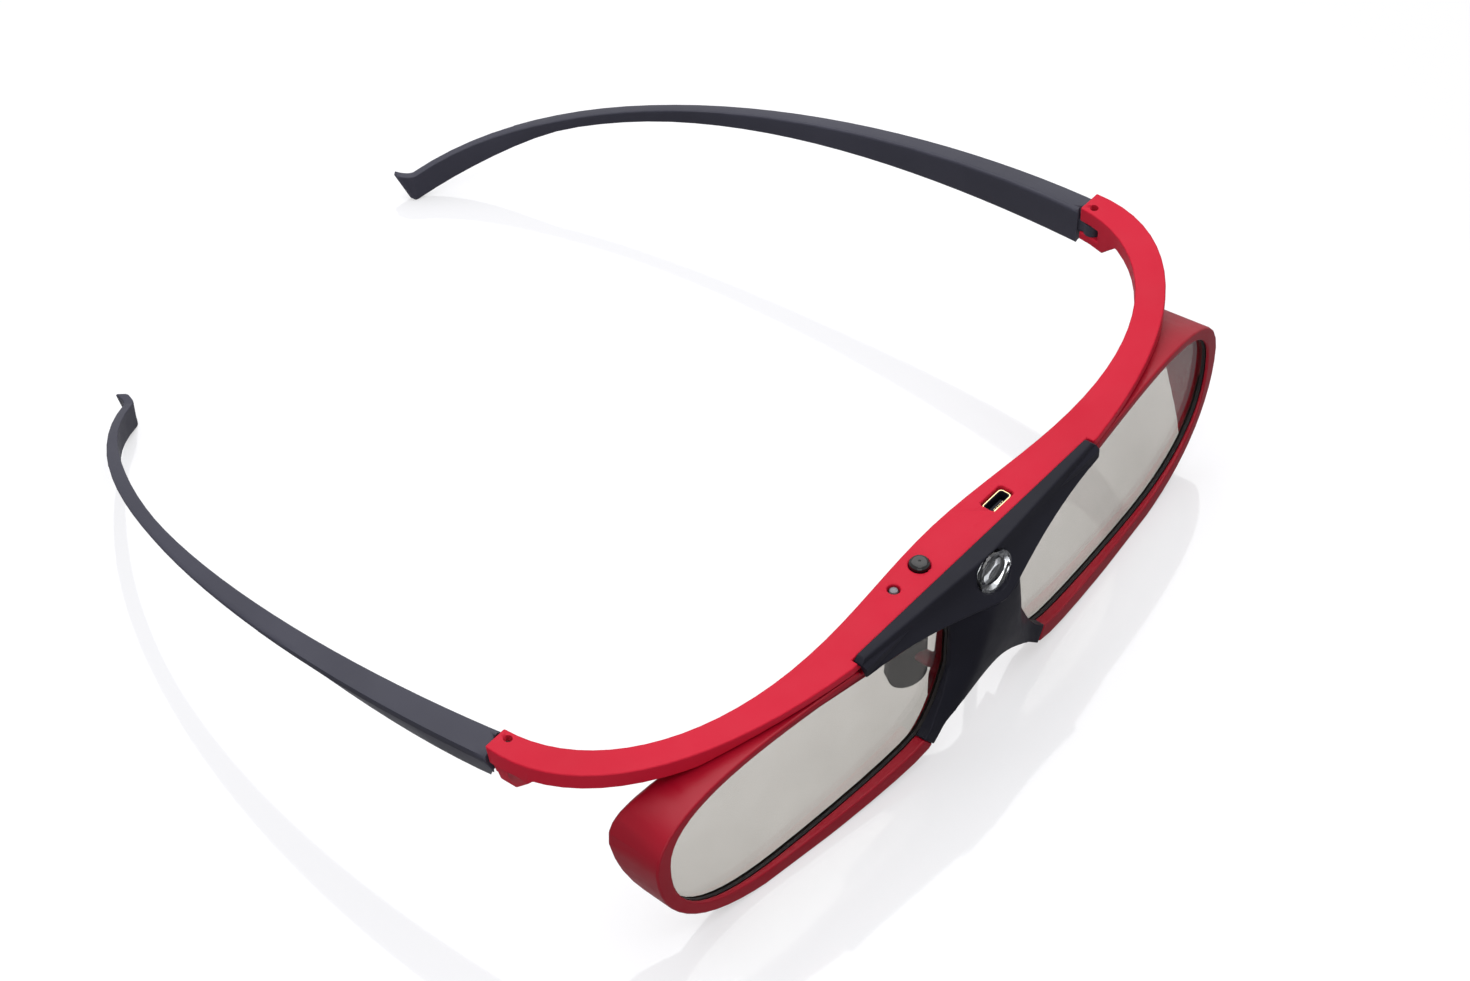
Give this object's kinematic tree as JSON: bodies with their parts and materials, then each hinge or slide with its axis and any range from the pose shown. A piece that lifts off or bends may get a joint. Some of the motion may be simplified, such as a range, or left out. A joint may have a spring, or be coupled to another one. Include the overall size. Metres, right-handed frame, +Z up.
{
  "type": "active shutter 3d glasses",
  "caption": "Active shutter glasses for stereoscopic viewing: flat brow housing with button, status light and charging socket, deep lens rims, bow-shaped bridge trim and folding temples.",
  "frame": {"origin": "middle of the base, on the table under the middle of the glasses", "axes": "+X to the wearer's left, +Y back towards the temple tips, +Z up"},
  "size_m": [0.1684, 0.163, 0.036],
  "materials": {
    "crimson_plastic": "satin moulded",
    "red_plastic": "satin moulded",
    "black_plastic": "satin moulded",
    "clear_plastic": "clear moulded",
    "lens_glass": "polished, grey tint",
    "black_rubber": "matt",
    "steel": "turned",
    "gold_plate": "plated",
    "board_laminate": "solder resist",
    "cell_foil": "foil",
    "lead_film": "flexible film",
    "charcoal_plastic": "satin moulded"
  },
  "bodies": {
    "frame": {"front_frame": "crimson_plastic", "brow_housing": "red_plastic", "bridge_trim": "black_plastic", "ir_window": "clear_plastic", "ir_receiver": "black_plastic", "left_lens": "lens_glass", "right_lens": "lens_glass", "left_lens_gasket": "black_rubber", "right_lens_gasket": "black_rubber", "left_nose_pad": "black_rubber", "right_nose_pad": "black_rubber", "tact_switch": "steel", "light_pipe": "clear_plastic", "status_led": "clear_plastic", "socket_shell": "gold_plate", "socket_tongue": "black_plastic", "socket_contacts": "gold_plate", "main_board": "board_laminate", "battery": "cell_foil", "battery_leads": "red_plastic", "left_lens_lead": "lead_film", "right_lens_lead": "lead_film", "housing_screws": "steel", "left_hinge_pin": "steel", "right_hinge_pin": "steel"},
    "left_temple": {"left_temple": "charcoal_plastic"},
    "right_temple": {"right_temple": "charcoal_plastic"},
    "button": {"power_button": "black_plastic"}
  },
  "joints": [
    {"name": "left_temple_fold", "type": "hinge", "parent": "frame", "child": "left_temple", "pos_m": [0.08, -0.04181, 0.0308], "axis": [0, 0, 1], "range_deg": [0, 81]},
    {"name": "right_temple_fold", "type": "hinge", "parent": "frame", "child": "right_temple", "pos_m": [-0.08, -0.04181, 0.0308], "axis": [0, 0, -1], "range_deg": [0, 76]},
    {"name": "power_button_press", "type": "slide", "parent": "frame", "child": "button", "axis": [0, 0, -1], "range_m": [0, 0.0004], "stiffness_N_per_m": 800}
  ]
}
